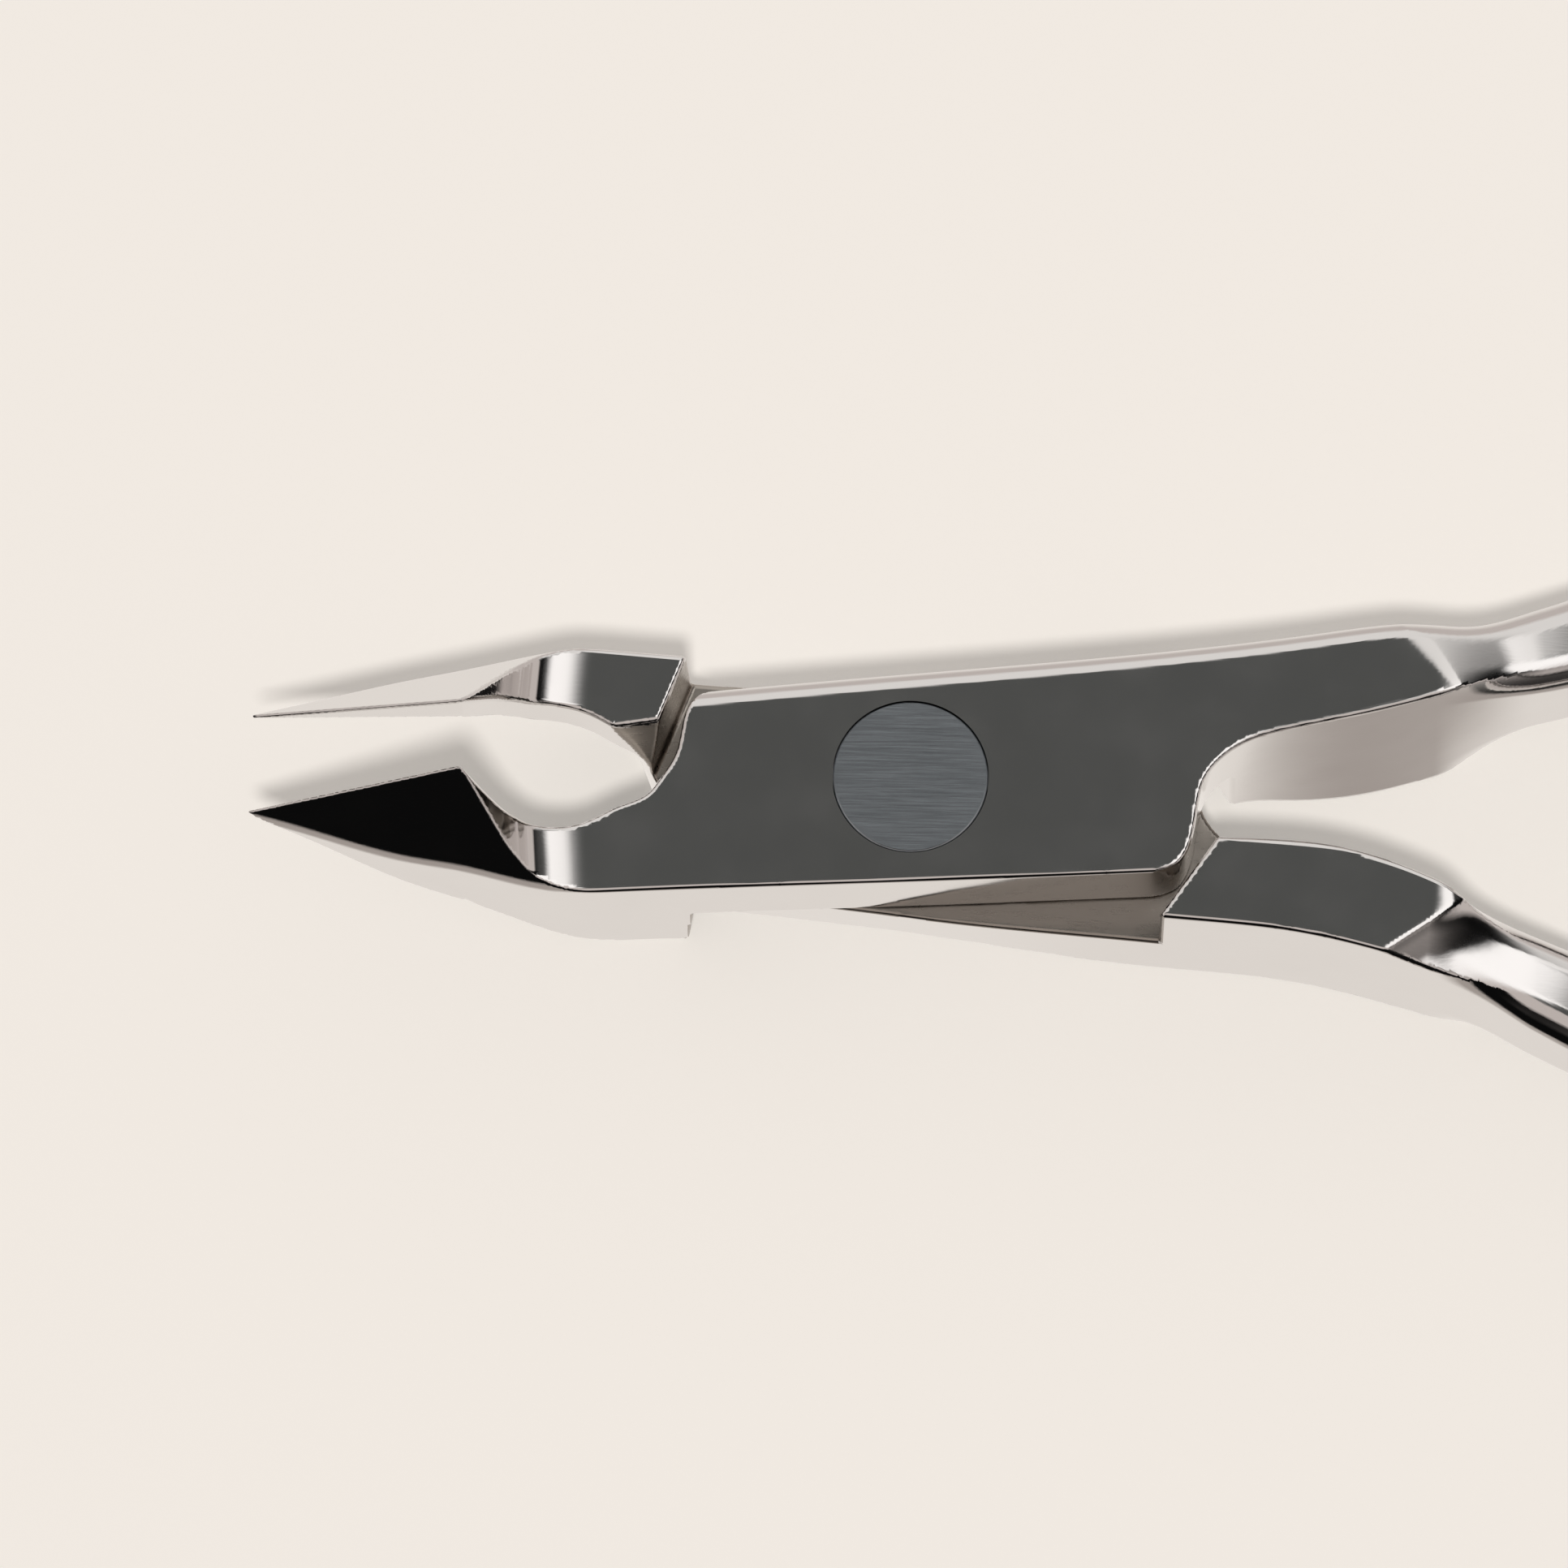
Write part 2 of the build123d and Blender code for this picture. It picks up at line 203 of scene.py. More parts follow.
MOUTH = [(-12.9, 0), (-12.1, -0.5), (-11.2, -0.87), (-10.3, -0.99), (-9.4, -0.86), (-8.4, -0.44),
         (-7.5, -0.06), (-7.2, 0.29), (-6.62, 1.22), (-6.33, 2.29), (-5.7, 2.93)]
mouth_curve = turned_spline(MOUTH, MOUTH_TURN)
end_curve = turned_spline([(7.25, -3.16), (7.61, -2.86), (8.05, -1.92), (8.38, -0.61), (8.92, 0.09),
                           (9.88, 0.64), (11.2, 0.94), (13.5, 1.31), (16.0, 1.84), (19, 2.45)], END_TURN)
jaw_side = spline((-20.0, 0.1), (-19.5, -0.03), (-19.05, -0.16), (-16.7, -0.95), (-14.5, -1.67),
                  (-13, -2.06), (-11, -2.67), (-9.8, -2.92), (-8.6, -2.97), (-5, -3.01), (0, -3.09),
                  (7.3, -3.16), (9, -3.17))
jaw_back = spline((-19.6, 5.95), (-16.8, 4.42), (-14.5, 2.9), (-11.4, 1.5), (-8.9, 0.3), (-6.35, 0),
                  (-5.4, -0.35))
plate_top = spline((-7, 2.87), (-5.7, 2.93), (0, 3.16), (7.6, 3.47), (12, 3.79), (14.6, 3.95), (16.2, 3.9),
                   (18, 4.1))
root_shift = spline((8.9, 0), (11.2, 0.68), (13.5, 0.91), (16, 0.88), (18, 0.88))
back_edge = spline((-7, 2.9), (-5.7, 2.93), (0.2, 3.08), (7.4, 3.46), (11.5, 3.53), (16, 4.3), (18, 4.7))
root_inner_b = spline((7, 0.93), (8.92, 0.93), (12.2, 0.87), (14.2, 1.25), (16, 1.84), (18, 2.5))

# handle stations: (x, y of the middle, z of the middle, width, depth)
GRIP = [(36.0, 10.1, 2.8, 3.5, 4.9), (50.0, 12.9, 2.85, 4.0, 5.1), (65.0, 12.4, 2.85, 4.2, 5.1),
        (79.0, 9.8, 2.8, 4.0, 4.8), (89.0, 7.55, 2.75, 3.5, 4.3), (92.4, 6.95, 2.75, 2.6, 3.2)]
HANDLE_A = [(15.6, 2.72, 2.85, 2.1, 5.3), (19.2, 3.42, 2.65, 2.5, 4.8), (26.0, 6.05, 2.7, 2.95, 4.55)] + GRIP
HANDLE_B = [(15.6, 3.0, 2.7, 2.1, 5.0), (19.2, 4.2, 2.42, 2.6, 4.3), (26.0, 6.75, 2.6, 2.95, 4.4)] + GRIP


def front_height(x):
    """Height of the front surface: flat, then hollow ramp, then steep heel."""
    bend_x = RAMP_X - RAMP_RADIUS * math.sin(RAMP_TURN)
    bend_z = THICK + RAMP_RADIUS * (1 - math.cos(RAMP_TURN))
    ramp = THICK + RAMP_RADIUS - np.sqrt(RAMP_RADIUS**2 - np.clip(RAMP_X - x, 0, RAMP_X - bend_x) ** 2)
    heel_slope = (THICK + HEEL_RISE - bend_z) / (bend_x - HEEL_X)
    past_bend = np.clip(bend_x - x + HEEL_BLEND, 0, 2 * HEEL_BLEND) ** 2 / (4 * HEEL_BLEND)
    return ramp + heel_slope * (past_bend + np.maximum(bend_x - x - HEEL_BLEND, 0))


def jaw_walls(x, y, z, play):
    """The outer side, the mouth and the lap plate's nose, all square to the plan but for the undercut."""
    rim = np.where(x < HEEL_X, THICK - TIP_RIM + RIM_SLOPE * (x - TIP_X), front_height(x) - RIM_DEPTH)
    in_mouth = ease((-7.15 - x) / 1.2)
    u, v = turned(x, y, MOUTH_TURN)
    spread = (UNDERCUT * np.maximum(rim - z, 0) + play * ease((x - HEEL_X) / 1.5)) * in_mouth
    mouth = over(mouth_curve, u, v) + 0.9 * spread
    cutting = y + EDGE_GAP - 1.5 * np.maximum(x - HEEL_X, 0) + spread * (x < HEEL_X)
    return both(-over(jaw_side, x, y), both(mouth, cutting, CRISP), EDGE)


def faces(x, y, z):
    """Front and back surfaces with the bevel that makes the cutting edge."""
    facet = (z - THICK - EDGE_SLOPE * (x - TIP_X) - FACET_SLOPE * y) / math.hypot(1, EDGE_SLOPE, FACET_SLOPE)
    front = both(over(front_height, x, z), facet, CRISP)
    back = both(-z, -over(jaw_back, x, z), 0.3)
    return front, back


def handle(x, y, z, stations):
    """A handle with rounded sections square to its middle line."""
    columns = np.array(stations)
    middle, height, width, depth = [spline(*zip(columns[:, 0], columns[:, i])) for i in range(1, 5)]
    slope = (middle(x + 0.1) - middle(x - 0.1)) / 0.2
    away = (y - middle(x)) / (1 + slope * slope)
    foot = x + away * slope
    away = away * np.sqrt(1 + slope * slope)
    radius = CORNER * width(foot)
    across = np.abs(away) - width(foot) / 2
    up = np.abs(z - height(foot)) - depth(foot) / 2
    body = both(across, up, radius)
    return both(body, x - HANDLE_END, 0.9)


def seat(x, y):
    """Plan coordinates of a spring seat: forward along the leaf, and towards the other handle."""
    dx, dy = x - SEAT_AT[0], y - SEAT_AT[1]
    c, s = math.cos(SEAT_TURN), math.sin(SEAT_TURN)
    return -dx * c - dy * s, dx * s - dy * c


def shoulder_a(x, y, z):
    """Plane of the front lever's shoulder, positive towards the joint."""
    return past(x - SHOULDER_LEAN * z, y, (-7.5, 0), (-6.5, -2.96))


def shoulder_b(x, y, z):
    """Plane of the back lever's shoulder, positive towards the joint."""
    return past(x - SHOULDER_LEAN * (THICK - z), y, (-7.63, 0), (-6.73, -2.95))


def step_a(x, y):
    """Line of the front lever's root, positive towards the joint."""
    return past(x, y, (8.92, 0.93), (7.5, 3.47))


def step_b(x, y):
    """Line of the back lever's root, positive towards the joint."""
    return past(x, y, (8.92, 0.93), (7.44, 3.47))


def jaw_chamfer(x, y, z):
    """Plane ground on the back lever's jaw beside the mouth, positive outside; not a unit distance."""
    return y + 0.74 + CHAMFER_SLOPE * (x + 8.45) - CHAMFER_LEAN * (THICK - z)


def with_seat(body, x, y, z):
    """The handle with the flat filed for its spring and the hole for the screw."""
    along, inward = seat(x, y)
    middle = (SEAT_FORWARD - SEAT_BACK) / 2
    half = (SEAT_FORWARD + SEAT_BACK) / 2
    flat = np.minimum(inward, half - np.abs(along - middle))
    hole = np.minimum(SCREW_RADIUS - np.hypot(along, z - LEAF_Z), inward + SCREW_DEPTH)
    return both(both(body, flat, 0.1), hole, 0.05)


def lever_a(x, y, z):
    """Lever with the front lap, lower jaw and upper handle."""
    walls = jaw_walls(x, y, z, 0)
    u, v = turned(x, y + root_shift(np.clip(x, 8.9, 18)) * (1 - z / THICK), END_TURN)
    walls = both(walls, -over(end_curve, u, v), 0.3)
    front, back = faces(x, y, z)
    fall = (x - 15.3) * 0.773 + (y - 2.75) * 0.636
    scoop = (z - THICK + PLATE_SCOOP * fall) / math.hypot(1, PLATE_SCOOP)
    front = both(front, scoop, CRISP)
    top = over(plate_top, x, y)
    walls = both(walls, top, EDGE)
    block = np.maximum(both(walls, front, EDGE), both(top, front, SOFT_EDGE))
    block = np.maximum(block, np.maximum(both(walls, back, EDGE), both(top, back, 0.4)))
    allowed = either(either(LAP_A - z, shoulder_a(x, y, z), 0.12), step_a(x, y), 0.1)
    block = both(block, allowed, 0.12)
    mix = ease((x - HANDLE_START) / HANDLE_BLEND)
    body = block * (1 - mix) + handle(x, y, z, HANDLE_A) * mix
    return with_seat(body, x, y, z)


def lever_b(x, y, z):
    """Lever with the back lap, upper jaw and lower handle, with its Y turned over."""
    walls = jaw_walls(x, y, z, MOUTH_PLAY)
    u, v = turned(x, y, END_TURN)
    front, back = faces(x, y, z)
    lean = BACK_LEAN * ease((7.4 - x) / 7.2) * np.clip(z / LAP_B, 0, 1)
    outer = over(back_edge, x, y - lean)
    walls = both(walls, outer, EDGE)
    walls = both(walls, -over(end_curve, u, v), 0.3)
    chamfer = jaw_chamfer(x, y, z) / math.hypot(1, CHAMFER_SLOPE, CHAMFER_LEAN)
    chamfer = np.where(z > LAP_B + 0.2, chamfer - 1.2 * np.maximum(-8.6 - x, 0), -1.0)
    jaw = both(shoulder_b(x, y, z), chamfer, 0.08)
    plate = both(walls, either(z - LAP_B, jaw, 0.15), 0.12)
    wide = past(x, y, (14.3, 3.57), (16, 2.2))
    fall = (wide + np.sqrt(wide * wide + 0.003)) / 2
    scoop = z - front_height(x) + 0.75 * (1 - np.exp(-fall / 1.2)) + 0.1 * fall
    root = both(outer, -over(root_inner_b, x, y), 0.2)
    root = both(root, step_b(x, y), 0.08)
    block = np.minimum(plate, root)
    block = both(both(block, np.maximum(front, scoop / 1.1), EDGE), back, EDGE)
    mix = ease((x - HANDLE_START) / HANDLE_BLEND)
    body = block * (1 - mix) + handle(x, y, z, HANDLE_B) * mix
    return with_seat(body, x, y, z)


# ---- field to mesh -------------------------------------------------------------------------------

def slope_of(field, p):
    """Gradient of a field at points."""
    step = 0.004
    parts = []
    for axis in range(3):
        shift = np.zeros(3)
        shift[axis] = step
        parts.append((field(*(p + shift).T) - field(*(p - shift).T)) / (2 * step))
    return np.stack(parts, axis=1)


def settle(field, p):
    """Points moved onto the field's zero."""
    for _ in range(3):
        g = slope_of(field, p)
        move = -field(*p.T) / np.maximum((g * g).sum(axis=1), 0.2)
        p = p + g * np.clip(move, -0.1, 0.1)[:, None]
    return p


def surface(field, xs, ys, zs, middle=None):
    """Vertices and quads on a field's zero, from a grid whose Y follows a middle line."""
    offset = middle(xs) if middle else np.zeros(len(xs))
    grid_x = xs[:, None, None]
    grid_y = ys[None, :, None] + offset[:, None, None]
    grid_z = zs[None, None, :]
    shape = (len(xs), len(ys), len(zs))
    value = np.broadcast_to(field(grid_x, grid_y, grid_z), shape)
    inside = value < 0
    cells = np.zeros([n - 1 for n in shape], bool)
    crossings = []
    for axis in range(3):
        low = tuple(slice(0, -1) if a == axis else slice(None) for a in range(3))
        high = tuple(slice(1, None) if a == axis else slice(None) for a in range(3))
        found = np.argwhere(inside[low] != inside[high])
        others = [a for a in range(3) if a != axis]
        held = np.all([(found[:, a] > 0) & (found[:, a] < shape[a] - 1) for a in others], axis=0)
        found = found[held]
        end = found.copy()
        end[:, axis] += 1
        f0 = value[tuple(found.T)]
        f1 = value[tuple(end.T)]
        t = (f0 / (f0 - f1))[:, None]
        start_at = np.stack([xs[found[:, 0]], ys[found[:, 1]] + offset[found[:, 0]], zs[found[:, 2]]], axis=1)
        end_at = np.stack([xs[end[:, 0]], ys[end[:, 1]] + offset[end[:, 0]], zs[end[:, 2]]], axis=1)
        point = start_at + t * (end_at - start_at)
        second, third = (axis + 1) % 3, (axis + 2) % 3
        around = []
        for back_2, back_3 in ((1, 1), (0, 1), (0, 0), (1, 0)):
            cell = found.copy()
            cell[:, second] -= back_2
            cell[:, third] -= back_3
            cells[tuple(cell.T)] = True
            around.append(cell)
        crossings.append((point, around, f0 < 0))
    number = np.full(cells.shape, -1)
    number[cells] = np.arange(cells.sum())
    total = np.zeros((cells.sum(), 3))
    count = np.zeros(cells.sum())
    quads = []
    for point, around, outward in crossings:
        corners = np.stack([number[tuple(cell.T)] for cell in around], axis=1)
        for column in corners.T:
            np.add.at(total, column, point)
            np.add.at(count, column, 1)
        quads.append(np.where(outward[:, None], corners, corners[:, ::-1]))
    quads = np.concatenate(quads)
    verts = settle(field, total / count[:, None])
    for _ in range(3):
        total = np.zeros_like(verts)
        count = np.zeros(len(verts))
        for turn in (1, 3):
            near = np.roll(quads, turn, axis=1)
            for column, other in zip(quads.T, near.T):
                np.add.at(total, column, verts[other])
                np.add.at(count, column, 1)
        verts = settle(field, verts + 0.5 * (total / count[:, None] - verts))
    return verts, quads


def lap_and_shade_faces_a(x, y, z):
    """True on the front lever's ground lap faces, which stay unpolished and take a painted shade."""
    lap = (np.abs(z - LAP_A) < GROUND_BAND) & (shoulder_a(x, y, z) > 0) & (step_a(x, y) > 0)
    end = np.abs(shoulder_a(x, y, z)) < GROUND_BAND
    return lap | (end & (z < LAP_A) & (z > 0.1))


def lap_and_shade_faces_b(x, y, z):
    """True on the back lever's ground lap faces, which stay unpolished and take a painted shade."""
    beside = np.abs(jaw_chamfer(x, y, z)) < GROUND_BAND
    beside = beside & (x < -6.5) & (x > -8.9) & (z < THICK - 0.08)
    lap = (np.abs(z - LAP_B) < GROUND_BAND) & (shoulder_b(x, y, z) > 0) & (step_b(x, y) > 0)
    ends = np.minimum(np.abs(shoulder_b(x, y, z)), np.abs(step_b(x, y))) < GROUND_BAND
    return lap | ((ends | beside) & (z > LAP_B) & (z < THICK - 0.17))


def corner_normals(field, verts, quads):
    """One normal for each corner of each quad, read a little inside the quad so that edges stay crisp."""
    corners = verts[quads]
    centre = corners.mean(axis=1, keepdims=True)
    spots = corners + 0.2 * (centre - corners)
    normals = slope_of(field, spots.reshape(-1, 3))
    return normals / np.linalg.norm(normals, axis=1, keepdims=True)


def bore(verts, quads, normals, profile, margin=0.18, sides=128):
    """Cuts a round stepped hole on the Z axis; the first and last circles lie in flat faces."""
    turn = np.arange(sides) * 2 * math.pi / sides
    ring = np.stack([np.cos(turn), np.sin(turn)], axis=1)
    extra_verts, extra_faces, extra_normals = [], [], []
    keep = np.ones(len(quads), bool)
    first = len(verts)
    for radius, z in profile:
        extra_verts.append(np.column_stack([ring * radius, np.full(sides, z)]))
    last = first + sides * (len(profile) - 1)
    for (radius, z), start, up in ((profile[0], first, 1), (profile[-1], last, -1)):
        corners = verts[quads]
        flat = np.all(np.abs(corners[:, :, 2] - z) < 0.02, axis=1)
        near = np.any(np.hypot(corners[:, :, 0], corners[:, :, 1]) < radius + margin, axis=1)
        gone = quads[flat & near]
        keep &= ~(flat & near)
        step = {}
        edges = set()
        for quad in gone.tolist():
            for a, b in zip(quad, quad[1:] + quad[:1]):
                edges.add((a, b))
        for a, b in edges:
            if (b, a) not in edges:
                step[a] = b
        loop = [next(iter(sorted(step)))]
        while step[loop[-1]] != loop[0]:
            loop.append(step[loop[-1]])
        numbers = loop + list(range(start, start + sides))
        outer = [Vector((*verts[i][:2], 0)) for i in loop]
        inner = [Vector((*(radius * p), 0)) for p in ring]
        spots = outer + inner
        for tri in tessellate_polygon([outer, inner]):
            a, b, c = [numbers[i] for i in tri]
            p, q, r = [spots[i] for i in tri]
            if (q - p).cross(r - p).z * up < 0:
                b, c = c, b
            extra_faces.append((a, b, c))
            extra_normals.extend([(0, 0, up)] * 3)
    for level in range(len(profile) - 1):
        (r0, z0), (r1, z1) = profile[level], profile[level + 1]
        along = Vector((r1 - r0, z1 - z0)).normalized()
        for i in range(sides):
            j = (i + 1) % sides
            low, high = first + level * sides, first + (level + 1) * sides
            extra_faces.append((low + i, low + j, high + j, high + i))
            for k in (i, j, j, i):
                extra_normals.append((along.y * ring[k][0], along.y * ring[k][1], -along.x))
    all_faces = [tuple(q) for q in quads[keep].tolist()] + extra_faces
    kept_normals = normals.reshape(-1, 4, 3)[keep].reshape(-1, 3)
    return (np.concatenate([verts] + extra_verts), all_faces, np.concatenate([kept_normals, extra_normals]))


def piece(name, verts, polygons, normals, angle, material, flip=False):
    """A mesh object in the row frame from closed-frame millimetres."""
    place = np.array(Matrix.Rotation(angle, 3, "Z"))
    if flip:
        verts = verts * (1, -1, 1)
        normals = normals * (1, -1, 1)
        ordered, start = [], 0
        turned_normals = []
        for polygon in polygons:
            n = len(polygon)
            ordered.append(tuple(reversed(polygon)))
            turned_normals.extend(normals[start : start + n][::-1])
            start += n
        polygons, normals = ordered, np.array(turned_normals)
    used, flat = np.unique(np.concatenate([np.asarray(p) for p in polygons]), return_inverse=True)
    flat = flat.tolist()
    ordered, start = [], 0
    for polygon in polygons:
        ordered.append(flat[start : start + len(polygon)])
        start += len(polygon)
    mesh = bpy.data.meshes.new(name + "_look")
    mesh.from_pydata((verts[used] @ place.T * MM).tolist(), [], ordered)
    mesh.shade_smooth()
    mesh.normals_split_custom_set((normals @ place.T).tolist())
    mesh.materials.append(material)
    obj = bpy.data.objects.new(name + "_look", mesh)
    bpy.context.scene.collection.objects.link(obj)
    return obj


def flat_list(quads):
    """Quads as plain tuples."""
    return [tuple(q) for q in quads.tolist()]


def steps(*parts):
    """Grid positions: (start, end, spacing) runs joined end to end."""
    runs = [np.arange(start, end, spacing) for start, end, spacing in parts]
    return np.concatenate(runs + [[parts[-1][1]]])


# ---- materials -----------------------------------------------------------------------------------

def material(name, colour, roughness):
    """A metal with its colour and roughness on the shader's own sockets, and its node tree."""
    made = bpy.data.materials.new(name)
    made.use_nodes = True
    shader = made.node_tree.nodes["Principled BSDF"]
    shader.inputs["Base Color"].default_value = (*colour, 1)
    shader.inputs["Metallic"].default_value = 1
    shader.inputs["Roughness"].default_value = roughness
    return made, made.node_tree, shader


def link(tree, source, target):
    tree.links.new(source, target)


def noise(tree, scale, stretch=(1, 1, 1), turn=0.0, detail=4, roughness=0.5):
    """Noise over the object's own coordinates, in millimetres, stretched and turned."""
    place = tree.nodes.new("ShaderNodeTexCoord")
    mapping = tree.nodes.new("ShaderNodeMapping")
    mapping.inputs["Rotation"].default_value = (0, 0, turn)
    mapping.inputs["Scale"].default_value = [s / MM for s in stretch]
    node = tree.nodes.new("ShaderNodeTexNoise")
    node.inputs["Scale"].default_value = scale
    node.inputs["Detail"].default_value = detail
    node.inputs["Roughness"].default_value = roughness
    link(tree, place.outputs["Object"], mapping.inputs["Vector"])
    link(tree, mapping.outputs["Vector"], node.inputs["Vector"])
    return node.outputs["Fac"]


def ranged(tree, value, low, high, to_low, to_high):
    """A value brought from one range to another."""
    node = tree.nodes.new("ShaderNodeMapRange")
    for socket, number in zip(("From Min", "From Max", "To Min", "To Max"), (low, high, to_low, to_high)):
        node.inputs[socket].default_value = number
    link(tree, value, node.inputs["Value"])
    return node.outputs["Result"]


def bump(tree, height, distance, strength, under=None):
    """A bump, on top of another one if given."""
    node = tree.nodes.new("ShaderNodeBump")
    node.inputs["Strength"].default_value = strength
    node.inputs["Distance"].default_value = distance
    link(tree, height, node.inputs["Height"])
    if under:
        link(tree, under, node.inputs["Normal"])
    return node.outputs["Normal"]


def polished_steel():
    """Mirror-polished steel with soft smudges, fine hairlines and a faint waviness."""
    made, tree, shader = material("polished_steel", (0.77, 0.755, 0.745), 0.1)
    smudge = noise(tree, 0.55, detail=5)
    hair = noise(tree, 1.0, (0.35, 14, 14), math.radians(-12), detail=3)
    rough = ranged(tree, smudge, 0.35, 0.7, 0.065, 0.115)
    link(tree, rough, shader.inputs["Roughness"])
    wave = noise(tree, 0.5, detail=1)
    normal = bump(tree, wave, 0.02 * MM, 0.35)
    normal = bump(tree, hair, 0.002 * MM, 0.25, normal)
    link(tree, normal, shader.inputs["Normal"])
    return made


def ground_steel(name, colour, stretch, low, high, depth):
    """Steel with a fine straight grain."""
    made, tree, shader = material(name, colour, 0.3)
    grain = noise(tree, 1.0, stretch, detail=6, roughness=0.65)
    link(tree, ranged(tree, grain, 0.3, 0.7, low, high), shader.inputs["Roughness"])
    link(tree, bump(tree, grain, depth * MM, 0.5), shader.inputs["Normal"])
    return made


lever_steel = polished_steel()
rivet_steel = ground_steel("rivet_steel", (0.52, 0.56, 0.60), (0.5, 18, 18), 0.17, 0.24, 0.004)
spring_steel = ground_steel("spring_steel", (0.66, 0.65, 0.64), (12, 12, 0.5), 0.16, 0.3, 0.006)
screw_steel = ground_steel("screw_steel", (0.72, 0.71, 0.70), (9, 9, 9), 0.12, 0.24, 0.004)
# The lap steel's dark brown is partly the ground steel's own tone and partly painted shade for the recess
# between the levers.
lap_steel_and_painted_shade = ground_steel("lap_steel_and_painted_shade", (0.43, 0.395, 0.355), (1, 7, 7), 0.24, 0.36, 0.006)


# ---- levers --------------------------------------------------------------------------------------

grid_x = steps((-19.7, -18.5, 0.06), (-18.5, -8.4, 0.12), (-8.4, -5.4, 0.075), (-5.4, 19.8, 0.12),
               (19.8, 93.1, 0.4))
grid_y = steps((-3.72, -0.6, 0.12), (-0.6, 0.12, 0.06), (0.12, 4.92, 0.12))


def handle_middle(x):
    """Middle line that the grid follows past the joint."""
    columns = np.array(HANDLE_A)
    return ease((x - 12) / 9) * (spline(*zip(columns[:, 0], columns[:, 1]))(x) - 0.6)


def lever(name, field, lap_and_shade_faces, profile, angle, flip, body):
    """One lever with its rivet hole, on its body."""
    heights = steps((-0.26, 6.3, 0.13), (6.3, 10.2, 0.14))
    verts, quads = surface(field, grid_x, grid_y, heights, handle_middle)
    normals = corner_normals(field, verts, quads)
    verts, polygons, normals = bore(verts, quads, normals, profile)
    obj = piece(name, verts, polygons, normals, angle, lever_steel, flip)
    # Second material: the lap steel, whose dark brown is partly painted shade.
    obj.data.materials.append(lap_steel_and_painted_shade)
    centres = np.array([verts[list(p)].mean(axis=0) for p in polygons])
    # Faces on the laps take the second material, darkened with painted shade.
    ground = lap_and_shade_faces(*centres.T)
    obj.data.polygons.foreach_set("material_index", ground.astype(np.int32))
    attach(obj, body)
    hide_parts(name)
    return obj


lever("front_lever", lever_a, lap_and_shade_faces_a,
      [(HEAD_RADIUS + RING_GAP, THICK), (HEAD_RADIUS + RING_GAP, THICK - HEAD_DEPTH),
       (SHANK_RADIUS, THICK - HEAD_DEPTH), (SHANK_RADIUS, LAP_A)],
      REST_OPEN, False, "front")
lever("back_lever", lever_b, lap_and_shade_faces_b,
      [(SHANK_RADIUS + TURN_GAP, LAP_B), (SHANK_RADIUS + TURN_GAP, TAIL_DEPTH),
       (TAIL_RADIUS + TURN_GAP, 0)],
      -REST_OPEN, True, "back")


# ---- rivet ---------------------------------------------------------------------------------------

def lathe(name, profile, finish, sides=128):
    """A turned solid about +Z from (radius, height) points, top first."""
    verts, faces_made = [], []
    for radius, z in profile:
        for i in range(sides):
            turn = 2 * math.pi * i / sides
            verts.append((radius * math.cos(turn) * MM, radius * math.sin(turn) * MM, z * MM))
    for level in range(len(profile) - 1):
        low, high = level * sides, (level + 1) * sides
        for i in range(sides):
            j = (i + 1) % sides
            faces_made.append((low + i, high + i, high + j, low + j))
    faces_made.append(tuple(range(sides)))
    faces_made.append(tuple(reversed(range((len(profile) - 1) * sides, len(profile) * sides))))
    mesh = bpy.data.meshes.new(name)
    mesh.from_pydata(verts, [], faces_made)
    mesh.shade_smooth()
    mesh.set_sharp_from_angle(angle=math.radians(15))
    mesh.materials.append(finish)
    obj = bpy.data.objects.new(name, mesh)
    bpy.context.scene.collection.objects.link(obj)
    return obj


rivet = lathe("pivot_rivet_look", [
    (HEAD_RADIUS - RIVET_BREAK, THICK), (HEAD_RADIUS, THICK - RIVET_BREAK),
    (HEAD_RADIUS, THICK - HEAD_DEPTH), (SHANK_RADIUS, THICK - HEAD_DEPTH), (SHANK_RADIUS, TAIL_DEPTH),
    (TAIL_RADIUS, RIVET_BREAK), (TAIL_RADIUS - RIVET_BREAK, 0),
], rivet_steel)
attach(rivet, "front")
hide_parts("pivot_rivet")


# ---- springs and screws --------------------------------------------------------------------------

meet = turned(MEET_X, 0, REST_OPEN)
meet_along, meet_inward = seat(*meet)
half_leaf = LEAF_THICK / 2
leaf_line = spline((-3, half_leaf), (0, half_leaf), (2, half_leaf), (3.5, half_leaf + 0.05), (6.2, 0.8),
                   (12, 2.6), (18, 5.4), (meet_along, meet_inward))


def leaf(x, y):
    """Plan of a spring leaf from its seat to the meeting point."""
    along, inward = seat(x, y)
    blade = np.abs(over(leaf_line, along, inward)) - half_leaf
    return both(both(blade, -LEAF_BACK - along, 0.3), along - meet_along, 0.1)


def leaf_hole(along, inward, z):
    """Inside of the leaf's screw hole, positive."""
    round_hole = SCREW_RADIUS + SCREW_GAP - np.hypot(along, z - LEAF_Z)
    return np.minimum(round_hole, LEAF_THICK + 0.3 - np.abs(inward - half_leaf))


def bead_leaf(x, y, z):
    """Leaf of the front lever, ending in a round bead."""
    bead = np.hypot(x - meet[0], y - meet[1]) - BEAD_RADIUS
    along, inward = seat(x, y)
    hole = leaf_hole(along, inward, z)
    body = both(either(leaf(x, y), bead, 0.25), np.abs(z - LEAF_Z) - LEAF_WIDTH / 2, 0.12)
    return both(body, hole, 0.04)


